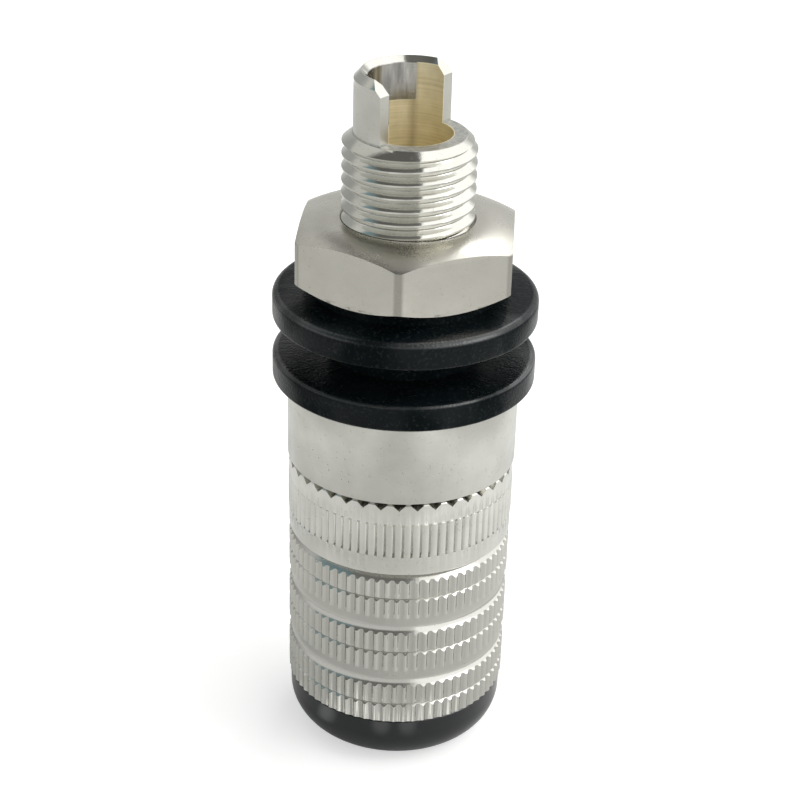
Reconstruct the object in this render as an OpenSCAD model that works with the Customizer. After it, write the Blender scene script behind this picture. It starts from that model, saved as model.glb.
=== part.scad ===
// Panel binding post with a knurled clamping knob, a free pressure ring and a solder cup.
// It stands on the front face of its end cap, with the solder cup upwards. Millimetres.

/* [Knob] */
// Diameter over the ribs of the knob
knob_d = 17.5; // [16.5:0.1:19]
// Ribbed bands round the knob
band_count = 3; // [2:1:4]
// Height of one ribbed band
band_h = 3.4; // [3:0.1:4.5]
// Height of the plain groove between two bands
groove_h = 1.5; // [1.2:0.1:2]
// Depth of that groove, whose ends slope at 45 degrees
groove_depth = 0.32; // [0.3:0.01:0.5]
// Ribs round the knob
rib_count = 70; // [50:1:90]
// Depth of a rib
rib_depth = 0.28; // [0.2:0.01:0.35]
// Width of the V groove that splits a band into two rows of ribs
split_w = 0.5; // [0.3:0.05:0.7]
// Share of one pitch that a rib's crest takes
rib_crest = 0.3; // [0.1:0.05:0.5]
// Share of one pitch that the floor between two ribs takes
rib_root = 0.2; // [0.1:0.05:0.3]
// Chamfer on the knob's edge under the pressure ring
parting = 0.5; // [0.3:0.1:0.8]
// Travel of the knob from closed to fully open
travel = 8; // [6:0.5:9]

/* [Knob inside] */
// Diameter of the neck that carries the pressure ring
neck_d = 12; // [11:0.1:12.4]
// Overhang of the lip that is swaged over the pressure ring
lip_over = 0.6; // [0.4:0.1:0.8]
// Thickness of that lip
lip_h = 0.7; // [0.5:0.1:0.9]
// Depth of the lip below the roots of the ring's teeth
lip_sink = 0.6; // [0.4:0.1:1]
// Diameter of the seat for the end cap's plug
plug_d = 13; // [12.4:0.1:13.4]
// Length of the end cap's plug
plug_h = 3.6; // [2.5:0.1:4.5]
// Room left behind that plug
plug_room = 0.4; // [0.2:0.1:0.8]

/* [End cap] */
// Diameter of the end cap
cap_d = 17.2; // [16:0.1:18.6]
// Height of the end cap in front of the knob
cap_h = 4.4; // [4:0.1:5.5]
// Rounding of its front edge
cap_round = 3; // [2:0.1:3.4]
// Thickness of its front wall
cap_wall = 3.2; // [2.6:0.1:3.6]
// Room round the pillar in the cap's front hole
cap_room = 0.4; // [0.2:0.05:0.8]

/* [Pressure ring] */
// Height of the pressure ring with its teeth
ring_h = 6.2; // [5.6:0.1:7.5]
// Height of the plain belt below the flutes
ring_belt_h = 1.6; // [1:0.1:2]
// Height of the fluted belt
flute_h = 2.9; // [2:0.1:3.2]
// Flutes round the ring
flute_count = 80; // [60:1:100]
// Depth of a flute
flute_depth = 0.2; // [0.15:0.01:0.3]
// Share of one pitch that the land between two flutes takes
flute_land = 0.55; // [0.3:0.05:0.7]
// Share of one pitch that a flute's floor takes
flute_root = 0.15; // [0.1:0.05:0.2]
// Teeth on the ring's clamping face
tooth_count = 40; // [24:1:48]
// Depth of a tooth
tooth_depth = 0.57; // [0.3:0.01:0.7]
// Share of one pitch that the notch between two teeth takes
tooth_notch = 0.6; // [0.4:0.05:0.9]

/* [Collar and insulators] */
// Diameter of the base collar
collar_d = 17.7; // [16.6:0.1:19]
// Height of the base collar
collar_h = 6.7; // [5:0.1:9]
// Thickness of the collar's floor under the pillar's flange
collar_floor = 2; // [1.2:0.1:3]
// Diameter of both insulating washers
washer_d = 20; // [19:0.1:24]
// Thickness of the front washer
front_washer_h = 2.1; // [1.6:0.1:3]
// Thickness of the rear washer
rear_washer_h = 2.25; // [1.6:0.05:3]
// Height of the seat that the rear washer raises under the nut
seat_h = 0.85; // [0.4:0.05:1.5]
// Diameter of that seat
seat_d = 14.4; // [13:0.1:15]
// Rounding of the washers' outer edges
washer_round = 0.35; // [0.2:0.05:0.6]
// Diameter of the boss that centres the post in the panel
boss_d = 11.6; // [11:0.1:13]
// Height of that boss, which is the thickness of panel it takes
panel_h = 2.8; // [1.5:0.1:5]

/* [Nut] */
// Width of the nut across its flats
nut_af = 15.7; // [14:0.1:18]
// Height of the nut
nut_h = 4.75; // [4:0.05:8]
// How much the nut's corners are blunted
nut_blunt = 0.12; // [0.05:0.01:0.3]
// Direction of one corner, turned from the front towards the left
nut_turn = 3.3; // [0:0.1:60]

/* [Contact pillar] */
// Diameter over the rear thread
rear_d = 9.9; // [9:0.1:10.4]
// Bevel at the end of the rear thread
rear_bevel = 0.55; // [0.3:0.05:0.6]
// Free length of rear thread behind the nut
rear_free = 5.9; // [4:0.1:12]
// Pitch of the rear thread, whose turns are cut as rings on its free length
rear_pitch = 1; // [0.75:0.05:1.5]
// Depth of the rear thread
rear_cut = 0.55; // [0.3:0.05:0.6]
// Share of one pitch that the crest of the rear thread takes
rear_crest = 0.15; // [0.1:0.05:0.4]
// Diameter over the front thread
stud_d = 7.9; // [7.4:0.1:8.4]
// Bevel round the pillar's tip
tip_bevel = 0.5; // [0.3:0.1:0.7]
// Diameter of the flange inside the collar
flange_d = 14; // [12:0.1:14.8]
// Diameter of the socket for a 4 mm plug
socket_d = 4; // [3.9:0.05:4.2]
// Depth of the pillar's tip behind the end cap's face
tip_recess = 1.6; // [0.5:0.1:2]
// Diameter of the cross hole for bare wire
wire_d = 3.4; // [2:0.1:3.8]
// Distance from the cross hole's edge to the collar
wire_land = 1; // [0.6:0.1:1.2]
// Metal left between the cross hole and the socket's end
socket_web = 0.8; // [0.5:0.1:2]

/* [Solder cup] */
// Outer diameter of the solder cup
cup_d = 8.3; // [7.6:0.1:8.6]
// Bore of the solder cup
cup_bore_d = 6.3; // [5:0.1:6.6]
// Height of the cup above its shoulder
cup_h = 4.6; // [3.5:0.1:9]
// Depth of the bore below the shoulder
cup_sink = 3; // [1:0.1:5]
// Chamfer round the outside of the cup's rim
cup_rim = 0.55; // [0.3:0.05:0.8]
// Distance from the axis to the plane that opens the cup
cup_cut = 0.5; // [0:0.1:1.5]
// Height of the sill that the opening leaves above the shoulder
cup_sill = 0.2; // [0.1:0.1:1]
// Height of the sloping lead-in at the top of that opening
cup_lead = 1; // [0.4:0.1:1.6]
// Direction of the opening, turned from the front towards the right
cup_turn = 52; // [0:1:359]

/* [Stop ring] */
// Thickness of the stop ring
stop_h = 0.8; // [0.6:0.05:1]
// Depth of its groove in the pillar
stop_groove = 0.45; // [0.3:0.05:0.6]
// Width of its band
stop_band = 1.3; // [1:0.05:1.5]
// Angle of its gap
stop_gap = 70; // [40:1:90]
// Distance from the end cap's front wall to the stop ring
stop_clear = 0.8; // [0.5:0.1:1.5]
// Room round the stop ring inside the knob
stop_room = 0.35; // [0.3:0.05:0.6]

/* [Fits] */
// Radial clearance of a piece that turns or slides
running = 0.05; // [0.02:0.01:0.1]
// Radial clearance of a pressed piece
pressed = 0.02; // [0.01:0.01:0.03]
// Radial clearance of a washer or cap hole
loose = 0.1; // [0.1:0.05:0.3]
// End play of the pressure ring on the knob's neck
end_play = 0.03; // [0.02:0.01:0.05]
// Gap left between the ring's teeth and the collar
closed_gap = 0.08; // [0.02:0.01:0.15]

/* [Edges] */
// Bevel at both mouths of the cross hole, so that it doesn't cut the strands
wire_edge = 0.35; // [0.1:0.05:0.5]
// Bevel at the mouth of a bore that a thread or a plug enters
mouth_bevel = 0.4; // [0.2:0.05:0.5]
// Bevel at the mouth of a plain hole
hole_edge = 0.3; // [0.2:0.05:0.4]
// Bevel on the turned edges of the collar, the ring and the nut's faces
turned_edge = 0.12; // [0.05:0.01:0.2]
// Bevel on the end of the panel boss
boss_edge = 0.25; // [0.1:0.05:0.5]

/* [Hidden] */
$fn = 96;
// How far a cut runs past a face, two solids run into each other, and a crest is sunk
over = 1;
lap = 0.1;
sunk = 0.02;

// Heights above the end cap's face
knob_z = cap_h;
neck_z = knob_z + band_count * band_h + (band_count - 1) * groove_h + parting;
ring_z = neck_z + end_play;
collar_z = ring_z + ring_h + closed_gap;
front_z = collar_z + collar_h;
panel_z = front_z + front_washer_h;
rear_z = panel_z + panel_h;
washer_top_z = rear_z + rear_washer_h;
nut_z = washer_top_z + seat_h;
free_z = nut_z + nut_h;
thread_end_z = free_z + rear_free;
shoulder_z = thread_end_z + rear_bevel;
cup_z = shoulder_z + cup_h;

// Stop ring on the pillar, and the places inside the knob that follow it
stop_z = cap_wall + stop_clear;
stop_r = stud_d / 2 - stop_groove;
stop_out_r = stop_r + stop_band;
thread_z = stop_z + stop_h + travel;
relief_r = stop_out_r + stop_room;
plug_bore_r = stop_out_r + stop_room / 2;
lip_z = ring_z + ring_h - tooth_depth - lip_sink - lip_h;
pocket_z = lip_z - end_play;
pocket_r = neck_d / 2 + lip_over + loose;

wire_z = collar_z - wire_land - wire_d / 2;
socket_end_z = wire_z - wire_d / 2 - socket_web;

// Half of a section, from the axis out, as [radius, height] points turned about Z
module turned(points) {
    rotate_extrude() polygon(points);
}

// A disc of a turned section, from one height to another
module disc(r, z_low, z_high) {
    translate([0, 0, z_low]) cylinder(r = r, h = z_high - z_low);
}

// A cone that breaks the edge of a hole with radius r at height z; side is 1 up or -1 down
module hole_bevel(r, z, side, size) {
    turned([
        [0, z - side * (size + r)],
        [r + size + over, z + side * over],
        [0, z + side * over]
    ]);
}

// What is cut from a section to round the corner whose rounding centre is the origin
module corner_waste(r) {
    difference() {
        square(r + over);
        circle(r);
    }
}

// Outline of straight ribs: crest and root are their shares of one pitch
function rib_outline(count, r_crest, r_root, crest, root) = [
    for (i = [0 : count - 1]) let (pitch = 360 / count, a = i * pitch)
        for (p = [
            [r_root, a - pitch * (1 - root) / 2],
            [r_crest, a - pitch * crest / 2],
            [r_crest, a + pitch * crest / 2],
            [r_root, a + pitch * (1 - root) / 2]
        ]) p[0] * [cos(p[1]), sin(p[1])]
];

// Turned groove with a V section, cut from outside at height z
module v_groove(r, z, width, depth) {
    slope = (width / 2) / depth;
    turned([
        [r - depth, z],
        [r + over, z - (depth + over) * slope],
        [r + over, z + (depth + over) * slope]
    ]);
}

// Turned groove with a flat floor and 45 degree ends, cut from outside at height z
module flat_groove(r, z, width, depth) {
    floor_h = width - 2 * depth;
    turned([
        [r - depth, z - floor_h / 2],
        [r + over, z - width / 2 - over],
        [r + over, z + width / 2 + over],
        [r - depth, z + floor_h / 2]
    ]);
}

// One-piece turned pillar: solder cup, rear thread, flange, front thread and plug socket
module contact_pillar() {
    cup_r = cup_d / 2;
    rear_r = rear_d / 2;
    stud_r = stud_d / 2;
    color("silver") difference() {
        turned([
            [0, tip_recess],
            [stud_r - tip_bevel, tip_recess],
            [stud_r, tip_recess + tip_bevel],
            [stud_r, stop_z - end_play],
            [stop_r, stop_z - end_play],
            [stop_r, stop_z + stop_h + end_play],
            [stud_r, stop_z + stop_h + end_play],
            [stud_r, collar_z + collar_floor],
            [flange_d / 2, collar_z + collar_floor],
            [flange_d / 2, front_z],
            [rear_r, front_z],
            [rear_r, thread_end_z],
            [rear_r - rear_bevel, shoulder_z],
            [cup_r, shoulder_z],
            [cup_r, cup_z - cup_rim],
            [cup_r - cup_rim, cup_z],
            [0, cup_z]
        ]);
        disc(socket_d / 2, tip_recess - over, socket_end_z);
        hole_bevel(socket_d / 2, tip_recess, -1, mouth_bevel);
        translate([0, 0, wire_z]) rotate([0, 90, 0]) {
            cylinder(d = wire_d, h = stud_d + 2 * over, center = true);
            hole_bevel(wire_d / 2, stud_d / 2, 1, wire_edge);
            hole_bevel(wire_d / 2, -stud_d / 2, -1, wire_edge);
        }
        disc(cup_bore_d / 2, shoulder_z - cup_sink, cup_z + over);
        for (z = [thread_end_z - rear_pitch / 2 : -rear_pitch : free_z])
            v_groove(rear_r, z, rear_pitch * (1 - rear_crest), rear_cut);
        cup_opening();
    }
}

// Space that opens one side of the solder cup, wider at the rim
module cup_opening() {
    top = cup_h + over;
    lead_low = cup_h - cup_lead;
    rotate([0, 0, cup_turn - 90]) translate([0, cup_d, shoulder_z]) rotate([90, 0, 0])
        linear_extrude(2 * cup_d) polygon([
            [cup_cut, cup_sill],
            [cup_d, cup_sill],
            [cup_d, top],
            [cup_cut - cup_lead - over, top],
            [cup_cut, lead_low]
        ]);
}

// Plain turned collar, pressed over the pillar's flange
module base_collar() {
    edge = turned_edge;
    r = collar_d / 2;
    color("gainsboro") difference() {
        turned([
            [0, collar_z],
            [r - edge, collar_z],
            [r, collar_z + edge],
            [r, front_z - edge],
            [r - edge, front_z],
            [0, front_z]
        ]);
        disc(stud_d / 2 + pressed, collar_z - over, front_z);
        disc(flange_d / 2 + pressed, collar_z + collar_floor, front_z + over);
    }
}

// Washer with both outer edges rounded
module washer(z, h) {
    r = washer_d / 2;
    rotate_extrude() difference() {
        translate([0, z]) square([r, h]);
        translate([r - washer_round, z + h - washer_round]) corner_waste(washer_round);
        translate([r - washer_round, z + washer_round]) mirror([0, 1]) corner_waste(washer_round);
    }
}

// Front insulating washer with the boss that centres the post in its panel
module front_insulator() {
    edge = boss_edge;
    r = boss_d / 2;
    color("dimgray") difference() {
        union() {
            washer(front_z, front_washer_h);
            turned([
                [0, panel_z - over],
                [r, panel_z - over],
                [r, rear_z - edge],
                [r - edge, rear_z],
                [0, rear_z]
            ]);
        }
        disc(rear_d / 2 + loose, front_z - over, rear_z + over);
    }
}

// Rear insulating washer with the raised seat for the nut
module rear_insulator() {
    color("dimgray") difference() {
        union() {
            washer(rear_z, rear_washer_h);
            disc(seat_d / 2, washer_top_z - over, nut_z);
        }
        disc(rear_d / 2 + loose, rear_z - over, nut_z + over);
    }
}

// Hexagon nut with blunted corners and a turned 30 degree chamfer at both ends
module hex_nut() {
    end_r = nut_af / 2 - turned_edge;
    corner_r = nut_af / 2 / cos(30) - nut_blunt;
    fall = (corner_r - end_r) * tan(30);
    bore_r = rear_d / 2 + running;
    color("silver") difference() {
        intersection() {
            translate([0, 0, nut_z]) rotate([0, 0, -90 - nut_turn])
                cylinder(d = nut_af / cos(30), h = nut_h, $fn = 6);
            turned([
                [0, nut_z],
                [end_r, nut_z],
                [corner_r, nut_z + fall],
                [corner_r, free_z - fall],
                [end_r, free_z],
                [0, free_z]
            ]);
        }
        disc(bore_r, nut_z - over, free_z + over);
        hole_bevel(bore_r, free_z, 1, mouth_bevel);
        hole_bevel(bore_r, nut_z, -1, mouth_bevel);
    }
}

// Free-turning ring: plain belts, a fluted belt and radial teeth on its clamping face
module pressure_ring() {
    r = knob_d / 2;
    flute_z = ring_z + ring_belt_h;
    top_z = ring_z + ring_h;
    color("gainsboro") difference() {
        union() {
            disc(r - flute_depth, ring_z, top_z);
            turned([
                [0, ring_z],
                [r - turned_edge, ring_z],
                [r, ring_z + turned_edge],
                [r, flute_z],
                [0, flute_z]
            ]);
            disc(r, flute_z + flute_h, top_z);
            translate([0, 0, flute_z - lap]) linear_extrude(flute_h + 2 * lap)
                polygon(rib_outline(
                    flute_count, r - sunk, r - flute_depth - sunk, flute_land, flute_root
                ));
        }
        disc(neck_d / 2 + running, ring_z - over, top_z);
        disc(pocket_r, pocket_z, top_z + over);
        for (i = [0 : tooth_count - 1]) rotate([0, 0, 360 * i / tooth_count]) tooth_gap(top_z);
    }
}

// V notch between two teeth, cut along the +X radius into a face at height z
module tooth_gap(z) {
    half_w = tooth_notch / 2 * PI * knob_d / tooth_count;
    rise = over * tooth_depth / half_w;
    translate([pocket_r - over, 0, z]) rotate([90, 0, 90]) linear_extrude(knob_d / 2)
        polygon([[0, -tooth_depth], [half_w + over, rise], [-half_w - over, rise]]);
}

// Knurled knob: threaded sleeve with split ribbed bands and the neck for the pressure ring
module knob_shell() {
    r = knob_d / 2;
    pitch = band_h + groove_h;
    color("silver") difference() {
        union() {
            translate([0, 0, knob_z]) linear_extrude(neck_z - knob_z)
                polygon(rib_outline(rib_count, r, r - rib_depth, rib_crest, rib_root));
            disc(neck_d / 2, neck_z - over, lip_z + lip_h / 2);
            disc(neck_d / 2 + lip_over, lip_z, lip_z + lip_h);
        }
        for (i = [0 : band_count - 1])
            v_groove(r, knob_z + i * pitch + band_h / 2, split_w, rib_depth + sunk);
        for (i = [0 : band_count - 2])
            flat_groove(r, knob_z + i * pitch + band_h + groove_h / 2, groove_h, groove_depth);
        turned([
            [r - parting, neck_z],
            [r + over, neck_z - parting - over],
            [r + over, neck_z + over],
            [r - parting, neck_z + over]
        ]);
        disc(plug_d / 2, knob_z - over, knob_z + plug_h + plug_room);
        disc(relief_r, knob_z, thread_z);
        disc(stud_d / 2 + running, thread_z - over, lip_z + lip_h + over);
        hole_bevel(stud_d / 2 + running, lip_z + lip_h, 1, hole_edge);
    }
}

// Moulded end cap with a plug pressed into the knob and a hole in front of the socket
module end_cap() {
    r = cap_d / 2;
    hole_r = stud_d / 2 + cap_room;
    color("dimgray") difference() {
        union() {
            rotate_extrude() difference() {
                square([r, cap_h]);
                translate([r - cap_round, cap_round]) mirror([0, 1]) corner_waste(cap_round);
            }
            disc(plug_d / 2 - pressed, cap_h - over, cap_h + plug_h);
        }
        disc(hole_r, -over, cap_wall + over);
        hole_bevel(hole_r, 0, -1, hole_edge);
        disc(plug_bore_r, cap_wall, cap_h + plug_h + over);
    }
}

// Open retaining ring in the pillar's groove, which stops the opening knob
module stop_ring() {
    reach = stop_out_r + over;
    color("darkgray") translate([0, 0, stop_z]) difference() {
        cylinder(r = stop_out_r, h = stop_h);
        translate([0, 0, -over]) cylinder(r = stop_r + pressed, h = stop_h + 2 * over);
        translate([0, 0, -over]) linear_extrude(stop_h + 2 * over) polygon([
            [0, 0],
            reach * [1, tan(stop_gap / 2)],
            reach * [1, -tan(stop_gap / 2)]
        ]);
    }
}

contact_pillar();
base_collar();
front_insulator();
rear_insulator();
hex_nut();
pressure_ring();
knob_shell();
end_cap();
stop_ring();
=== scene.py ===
import bpy
import math
from mathutils import Matrix, Vector


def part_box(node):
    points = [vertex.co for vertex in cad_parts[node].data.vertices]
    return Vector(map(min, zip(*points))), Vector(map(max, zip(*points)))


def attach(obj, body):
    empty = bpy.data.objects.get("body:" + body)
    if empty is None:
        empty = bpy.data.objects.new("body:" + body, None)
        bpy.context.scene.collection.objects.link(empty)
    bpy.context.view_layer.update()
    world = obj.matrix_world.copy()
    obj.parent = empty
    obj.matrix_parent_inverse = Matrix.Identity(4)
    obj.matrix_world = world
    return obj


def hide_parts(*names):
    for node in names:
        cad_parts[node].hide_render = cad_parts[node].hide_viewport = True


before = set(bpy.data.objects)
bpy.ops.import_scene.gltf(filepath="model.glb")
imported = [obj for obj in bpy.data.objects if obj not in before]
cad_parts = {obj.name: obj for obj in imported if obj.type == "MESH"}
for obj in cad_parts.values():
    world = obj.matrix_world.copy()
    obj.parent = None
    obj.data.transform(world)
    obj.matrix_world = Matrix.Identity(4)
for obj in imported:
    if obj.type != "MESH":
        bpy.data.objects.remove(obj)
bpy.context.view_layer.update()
mm = 0.001
turn = 2 * math.pi
weld = mm * 1e-4  # corners closer than this are one
over = 1  # millimetres that a tool runs on past the piece it cuts
trim = 0.25  # millimetres that a trimming outline passes outside a bar
print("frame loaded")


# picking pieces up and putting them down

def putDown():
    if bpy.context.object and bpy.context.object.mode != "OBJECT":
        bpy.ops.object.mode_set(mode="OBJECT")
    bpy.ops.object.select_all(action="DESELECT")


def pickUp(piece):
    putDown()
    bpy.context.view_layer.objects.active = piece
    piece.select_set(True)


def editVerts(piece, wanted):  # goes to edit mode with only the wanted corners selected
    pickUp(piece)
    bpy.ops.object.mode_set(mode="EDIT")
    bpy.ops.mesh.select_mode(type="VERT")
    bpy.ops.mesh.select_all(action="DESELECT")
    bpy.ops.object.mode_set(mode="OBJECT")
    for vert in piece.data.vertices:
        vert.select = wanted(vert.co)
    bpy.ops.object.mode_set(mode="EDIT")


def levels(node):  # lowest and highest point of a node, in millimetres
    low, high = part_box(node)
    return low.z / mm, high.z / mm


# turned shapes: an outline of (radius, height) in millimetres, pulled out point by point and spun

def drawOutline(name, outline):
    putDown()
    firstR, firstZ = outline[0]
    bpy.ops.mesh.primitive_plane_add(size=mm, location=(firstR * mm, 0, firstZ * mm))
    piece = bpy.context.object
    piece.name = name
    bpy.ops.object.transform_apply(location=True, rotation=True, scale=True)
    bpy.ops.object.mode_set(mode="EDIT")
    bpy.ops.mesh.select_all(action="SELECT")
    bpy.ops.mesh.merge(type="CENTER")
    for (r, z), (nextR, nextZ) in zip(outline, outline[1:]):
        step = ((nextR - r) * mm, 0, (nextZ - z) * mm)
        bpy.ops.mesh.extrude_region_move(TRANSFORM_OT_translate={"value": step})
    return piece


def turnOutline(name, outline, steps=160):
    piece = drawOutline(name, outline + outline[:1])
    bpy.ops.mesh.select_all(action="SELECT")
    bpy.ops.mesh.spin(steps=steps, angle=turn, center=(0, 0, 0), axis=(0, 0, 1))
    bpy.ops.mesh.select_all(action="SELECT")
    bpy.ops.mesh.remove_doubles(threshold=weld)
    bpy.ops.mesh.normals_make_consistent(inside=False)
    bpy.ops.object.mode_set(mode="OBJECT")
    return piece


def roundCorner(centreR, centreZ, radius, start, end, steps=6):  # an arc, angles in degrees
    angles = [math.radians(start + (end - start) * i / steps) for i in range(steps + 1)]
    return [(centreR + radius * math.cos(a), centreZ + radius * math.sin(a)) for a in angles]


def carve(piece, tool, operation):
    pickUp(piece)
    cut = piece.modifiers.new("cut", "BOOLEAN")
    cut.operation = operation
    cut.solver = "EXACT"
    cut.object = tool
    bpy.ops.object.modifier_apply(modifier=cut.name)
    bpy.data.objects.remove(tool, do_unlink=True)
    return piece


def tidyFaces(piece, sharpAngle=38):
    editVerts(piece, lambda co: True)
    bpy.ops.mesh.remove_doubles(threshold=2 * weld)
    bpy.ops.mesh.dissolve_degenerate(threshold=2 * weld)
    bpy.ops.mesh.normals_make_consistent(inside=False)
    bpy.ops.object.mode_set(mode="OBJECT")
    pickUp(piece)
    bpy.ops.object.shade_smooth_by_angle(angle=math.radians(sharpAngle))


# threads: an outline swept up a helix, with both ends closed

def sweepThread(name, section, pitch, turns, steps=72):
    piece = drawOutline(name, section + section[:1])
    bpy.ops.mesh.select_all(action="SELECT")
    bpy.ops.mesh.remove_doubles(threshold=weld)
    bpy.ops.object.mode_set(mode="OBJECT")
    screw = piece.modifiers.new("helix", "SCREW")
    screw.axis = "Z"
    screw.angle = turn
    screw.screw_offset = pitch * mm
    screw.iterations = turns
    screw.steps = screw.render_steps = steps
    screw.use_merge_vertices = False
    bpy.ops.object.modifier_apply(modifier=screw.name)
    bpy.ops.object.mode_set(mode="EDIT")
    bpy.ops.mesh.select_mode(type="VERT")
    bpy.ops.mesh.select_all(action="SELECT")
    bpy.ops.mesh.remove_doubles(threshold=weld)
    bpy.ops.mesh.select_all(action="SELECT")
    bpy.ops.mesh.fill_holes(sides=0)
    bpy.ops.mesh.select_all(action="SELECT")
    bpy.ops.mesh.normals_make_consistent(inside=False)
    bpy.ops.object.mode_set(mode="OBJECT")
    return piece


def ribbedBar(name, count, depths, radius, heights):
    # a round bar with straight ribs: depths are how far each corner of one rib is pressed in,
    # row by row
    columns = len(depths[0])
    putDown()
    bpy.ops.mesh.primitive_circle_add(
        vertices=count * columns, radius=radius * mm, fill_type="NGON",
        location=(0, 0, heights[0] * mm))
    piece = bpy.context.object
    piece.name = name
    bpy.ops.object.transform_apply(location=True)
    bpy.ops.object.mode_set(mode="EDIT")
    bpy.ops.mesh.select_all(action="SELECT")
    for low, high in zip(heights, heights[1:]):
        bpy.ops.mesh.extrude_region_move(
            TRANSFORM_OT_translate={"value": (0, 0, (high - low) * mm)})
    bpy.ops.object.mode_set(mode="OBJECT")
    step = turn / (count * columns)

    def column(co):
        return round((math.atan2(co.x, co.y) % turn) / step) % columns

    for row, z in zip(depths, heights):
        for depth in sorted(set(row) - {0}):
            editVerts(piece, lambda co: (
                abs(co.z - z * mm) < 10 * weld and row[column(co)] == depth))
            factor = (radius - depth) / radius
            bpy.ops.transform.resize(value=(factor, factor, 1), center_override=(0, 0, 0))
            bpy.ops.object.mode_set(mode="OBJECT")
    editVerts(piece, lambda co: True)
    bpy.ops.mesh.normals_make_consistent(inside=False)
    bpy.ops.object.mode_set(mode="OBJECT")
    return piece


def fitIn(piece, body, slot, finish, *nodes):
    piece.data.materials.clear()
    piece.data.materials.append(finish)
    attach(piece, body)
    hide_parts(*nodes)


# finishes

def newFinish(name, **settings):
    finish = bpy.data.materials.new(name)
    finish.use_nodes = True
    shader = finish.node_tree.nodes["Principled BSDF"]
    for socket, value in settings.items():
        shader.inputs[socket.replace("_", " ")].default_value = value
    return finish, finish.node_tree, shader


def addNode(tree, kind, inputs=None, **settings):
    node = tree.nodes.new(kind)
    for key, value in settings.items():
        setattr(node, key, value)
    for socket, value in (inputs or {}).items():
        if isinstance(value, bpy.types.NodeSocket):
            tree.links.new(value, node.inputs[socket])
        else:
            node.inputs[socket].default_value = value
    return node


def objectPlace(tree, scale=(1, 1, 1)):
    place = addNode(tree, "ShaderNodeTexCoord").outputs["Object"]
    return addNode(tree, "ShaderNodeMapping", {"Vector": place, "Scale": scale}).outputs["Vector"]


def noise(tree, place, scale, detail=3.0, roughness=0.5):
    return addNode(tree, "ShaderNodeTexNoise", {
        "Vector": place, "Scale": scale, "Detail": detail, "Roughness": roughness}).outputs["Fac"]


def stretch(tree, value, low, high, outLow, outHigh):
    return addNode(tree, "ShaderNodeMapRange", {
        "Value": value, "From Min": low, "From Max": high,
        "To Min": outLow, "To Max": outHigh}).outputs["Result"]


def calc(tree, operation, first, second=0.0):
    return addNode(tree, "ShaderNodeMath", {0: first, 1: second}, operation=operation).outputs[0]


def mixColour(tree, factor, first, second):
    node = addNode(tree, "ShaderNodeMix", data_type="RGBA")
    places = (node.inputs[0], node.inputs[6], node.inputs[7])
    for socket, value in zip(places, (factor, first, second)):
        if isinstance(value, bpy.types.NodeSocket):
            tree.links.new(value, socket)
        else:
            socket.default_value = value
    return node.outputs[2]


def bump(tree, shader, height, distance, strength=1.0, under=None):
    inputs = {"Height": height, "Distance": distance, "Strength": strength}
    if under:
        inputs["Normal"] = under
    node = addNode(tree, "ShaderNodeBump", inputs)
    tree.links.new(node.outputs["Normal"], shader.inputs["Normal"])
    return node.outputs["Normal"]


plating = {
    "cloudScale": 420,
    "peelScale": 1900,
    "spotScale": 3800,
    "lineScale": (40, 40, 9000),  # long round the axis, short along it
    "reliefDepth": 6e-6,
    "spotTone": (0.30, 0.28, 0.24, 1),
    "spotShare": 0.2,
    "spotRough": 0.12,
}


def platedFinish(name, tone, shade, roughLow, roughHigh, lineDepth):
    # nickel plate over turned brass: faint clouds, small dull spots and fine turning lines
    # round the axis
    finish, tree, shader = newFinish(name, Metallic=1.0)
    place = objectPlace(tree)
    clouds = noise(tree, place, plating["cloudScale"], 4)
    spots = noise(tree, place, plating["spotScale"], 2)
    lines = noise(tree, objectPlace(tree, plating["lineScale"]), 1.0, 2)
    dull = stretch(tree, spots, 0.62, 0.74, 0, 1)
    base = mixColour(tree, stretch(tree, clouds, 0.35, 0.65, 0, 1), tone, shade)
    worn = mixColour(
        tree, calc(tree, "MULTIPLY", dull, plating["spotShare"]), base, plating["spotTone"])
    tree.links.new(worn, shader.inputs["Base Color"])
    rough = calc(tree, "ADD", stretch(tree, clouds, 0.3, 0.7, roughLow, roughHigh),
                 calc(tree, "MULTIPLY", dull, plating["spotRough"]))
    tree.links.new(rough, shader.inputs["Roughness"])
    soft = bump(tree, shader, clouds, plating["reliefDepth"])
    peel = bump(tree, shader, noise(tree, place, plating["peelScale"], 3),
                plating["reliefDepth"], 1.0, soft)
    bump(tree, shader, lines, lineDepth, 1.0, peel)
    return finish, tree, shader, worn, rough


nickelBright = platedFinish(
    "nickelBright", (0.58, 0.575, 0.53, 1), (0.53, 0.525, 0.48, 1), 0.12, 0.19, 1.2e-6)[0]
nickelRing = platedFinish(
    "nickelRing", (0.65, 0.645, 0.605, 1), (0.58, 0.575, 0.535, 1), 0.17, 0.25, 1.8e-6)[0]
nickelSatin = platedFinish(
    "nickelSatin", (0.565, 0.56, 0.52, 1), (0.505, 0.50, 0.46, 1), 0.17, 0.25, 1.8e-6)[0]


def axisReach(tree):  # place, its three axes and its distance from the post's axis
    place = addNode(tree, "ShaderNodeTexCoord").outputs["Object"]
    axes = addNode(tree, "ShaderNodeSeparateXYZ", {0: place}).outputs
    flat = addNode(tree, "ShaderNodeCombineXYZ", {0: axes[0], 1: axes[1]})
    reach = addNode(
        tree, "ShaderNodeVectorMath", {0: flat.outputs[0]}, operation="LENGTH").outputs["Value"]
    return place, axes, reach


knurling = {
    "hollowShadeTone": (0.36, 0.355, 0.33, 1),
    "hollowShadeShare": 0.45,
    "hollowShadeFrom": 0.10,  # depths below the crests where the painted shade in the hollows starts and is full
    "hollowShadeFull": 0.19,
}


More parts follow.
